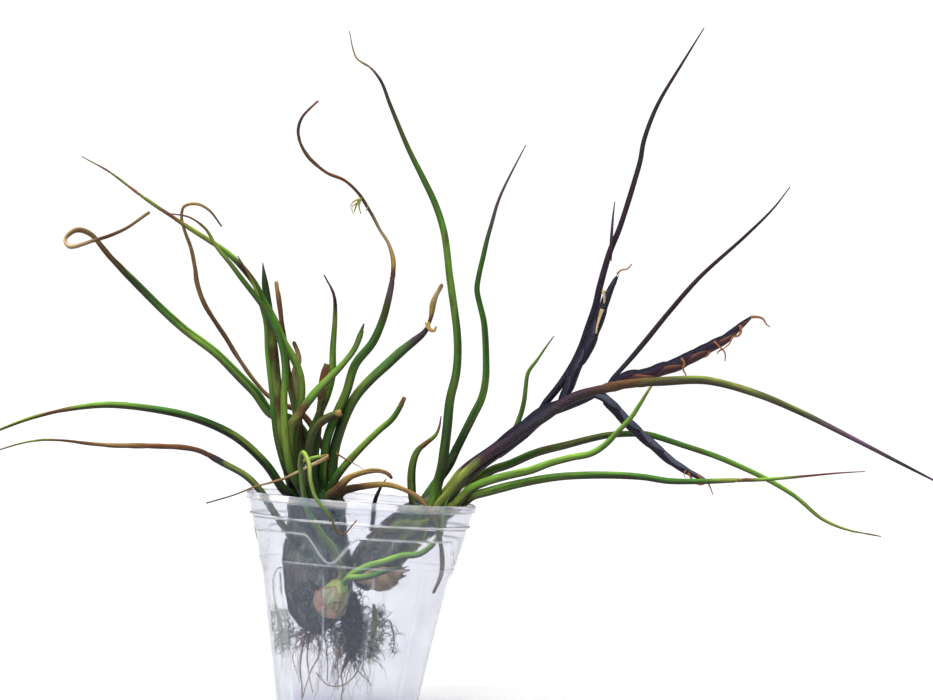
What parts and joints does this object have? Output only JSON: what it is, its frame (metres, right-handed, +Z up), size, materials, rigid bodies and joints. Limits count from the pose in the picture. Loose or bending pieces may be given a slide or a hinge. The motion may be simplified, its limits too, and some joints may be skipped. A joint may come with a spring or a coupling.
{
  "type": "bulbosa air plant in a clear cup",
  "caption": "Clump of bulbosa air plants with curling tube-like leaves and dark flower spikes, its bulbs and roots standing in a thin clear tapered cup.",
  "frame": {"origin": "the centre of the cup's flat underside, on the surface it stands on", "axes": "Z up along the cup's axis, +X to the side of the flowering stem (right in the picture), +Y away from the viewer"},
  "size_m": [0.3923, 0.0938, 0.2844],
  "materials": {
    "clear_plastic": "clear, moulded",
    "bulb_skin": "matt, scurfy",
    "green_leaf": "satin",
    "olive_leaf": "satin",
    "pale_leaf": "satin",
    "dried_leaf": "dry, papery",
    "purple_leaf": "satin, grey bloom",
    "root": "matt, fibrous",
    "moss": "matt, fuzzy"
  },
  "bodies": {
    "root": {"cup": "clear_plastic", "left_bulb": "bulb_skin", "right_bulb": "bulb_skin", "pup_bulb": "pale_leaf", "root_mass": "root", "left_arching_leaf": "green_leaf", "left_golden_arching_leaf": "dried_leaf", "left_hooked_long_leaf": "green_leaf", "left_golden_curled_leaf": "dried_leaf", "left_long_leaf": "green_leaf", "left_front_leaf": "green_leaf", "left_slender_leaf": "green_leaf", "left_upright_leaf": "green_leaf", "left_old_stalk": "olive_leaf", "left_orange_tipped_leaf": "olive_leaf", "left_dry_strip": "dried_leaf", "left_brown_stub": "dried_leaf", "left_dark_tipped_leaf": "green_leaf", "left_slanting_leaf": "olive_leaf", "left_tall_curled_leaf": "green_leaf", "left_curled_tip_leaf": "green_leaf", "left_cut_orange_leaf": "green_leaf", "left_hollow_stub": "olive_leaf", "left_brown_curl": "dried_leaf", "left_drooping_leaf": "dried_leaf", "left_dry_strand": "dried_leaf", "flowering_stem": "purple_leaf", "right_short_leaf": "green_leaf", "right_tallest_leaf": "green_leaf", "right_inner_tall_leaf": "green_leaf", "right_back_leaf": "green_leaf", "right_longest_leaf": "olive_leaf", "right_low_curving_leaf": "green_leaf", "right_light_green_leaf": "green_leaf", "right_lowest_leaf": "green_leaf", "right_shoulder_spike": "purple_leaf", "tall_bract_leaf": "purple_leaf", "bract_side_tip": "purple_leaf", "slanting_bract_leaf": "purple_leaf", "upright_flower_spike": "purple_leaf", "right_flower_spike": "purple_leaf", "drooping_flower_spike": "purple_leaf", "pup_inner_leaf": "green_leaf", "pup_hooked_leaf": "pale_leaf", "pup_short_leaf": "green_leaf", "dry_sheath": "dried_leaf", "left_moss": "moss", "right_moss": "moss", "moss_sprig": "moss", "root_to_floor_left": "root", "root_to_floor_right": "root", "root_curved_left": "root", "root_hanging_left": "root", "root_hanging_middle": "root", "root_hanging_front": "root", "root_loop": "root", "root_hanging_right": "root"}
  },
  "joints": []
}
